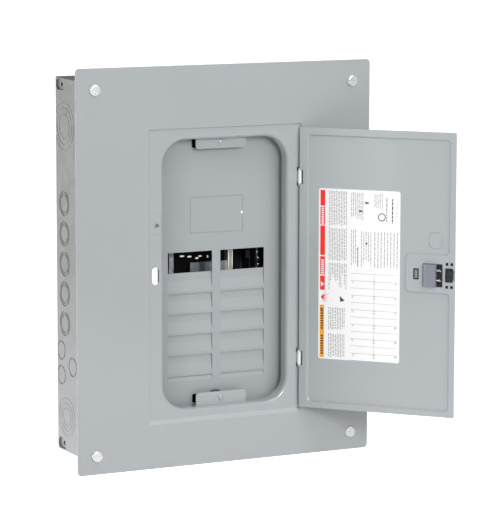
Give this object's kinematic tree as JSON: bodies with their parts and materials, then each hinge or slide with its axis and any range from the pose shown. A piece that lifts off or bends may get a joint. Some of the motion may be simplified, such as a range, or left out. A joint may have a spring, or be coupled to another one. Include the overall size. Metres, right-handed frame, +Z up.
{
  "type": "residential load center",
  "caption": "Recessed residential load center: steel box, flush cover with an open hinged door, slide latch, deadfront with breaker spaces, and bus, neutral and ground bars inside.",
  "frame": {"origin": "centre of the box's back face, where it meets the wall", "axes": "+X to the right seen from the room, +Y into the wall, +Z up; the cover faces -Y"},
  "size_m": [0.43, 0.2486, 0.486],
  "materials": {
    "painted_steel": "satin grey enamel",
    "box_steel": "satin grey enamel, slightly warmer",
    "zinc_plate": "bright zinc plate",
    "galvanised_steel": "galvanised",
    "tin_plate": "tin-plated aluminium",
    "base_plastic": "black moulded phenolic",
    "insulator_plastic": "moulded nylon",
    "green_screw": "green bonding screw",
    "label_film": "printed polyester label",
    "latch_plastic": "blue-grey moulded plastic",
    "spring_steel": "bright spring wire"
  },
  "bodies": {
    "enclosure": {"enclosure_box": "box_steel", "cover_trim": "painted_steel", "cover_screws": "zinc_plate", "strike_clip": "zinc_plate", "deadfront": "painted_steel", "deadfront_screws": "zinc_plate", "deadfront_nuts": "zinc_plate", "hinge_leaf_upper": "zinc_plate", "hinge_leaf_lower": "zinc_plate", "hinge_pin_upper": "zinc_plate", "hinge_pin_lower": "zinc_plate", "interior_pan": "galvanised_steel", "pan_screws": "zinc_plate", "bus_base": "base_plastic", "bus_bar_a": "tin_plate", "bus_bar_b": "tin_plate", "main_lug_a": "tin_plate", "main_lug_b": "tin_plate", "main_lug_screws": "zinc_plate", "breaker_rail_left": "galvanised_steel", "breaker_rail_right": "galvanised_steel", "neutral_bar_left": "tin_plate", "neutral_bar_right": "tin_plate", "neutral_screws_left": "zinc_plate", "neutral_screws_right": "zinc_plate", "neutral_crossbar": "tin_plate", "neutral_insulators": "insulator_plastic", "neutral_lug": "tin_plate", "neutral_lug_screw": "zinc_plate", "bonding_screw": "green_screw", "ground_bar": "tin_plate", "ground_screws": "zinc_plate"},
    "door": {"door_panel": "painted_steel", "door_label": "label_film", "latch_housing": "latch_plastic", "latch_springs": "spring_steel"},
    "latch": {"latch_slider": "latch_plastic"}
  },
  "joints": [
    {"name": "door_hinge", "type": "hinge", "parent": "enclosure", "child": "door", "pos_m": [0.1, -0.0971, -0.0097], "axis": [0, 0, 1], "range_deg": [-131.7, 0]},
    {"name": "latch_slide", "type": "slide", "parent": "door", "child": "latch", "axis": [-0.6652, 0.7466, 0], "range_m": [0, 0.004], "stiffness_N_per_m": 400, "springref_m": -0.004, "deforming": ["latch_springs"]}
  ]
}
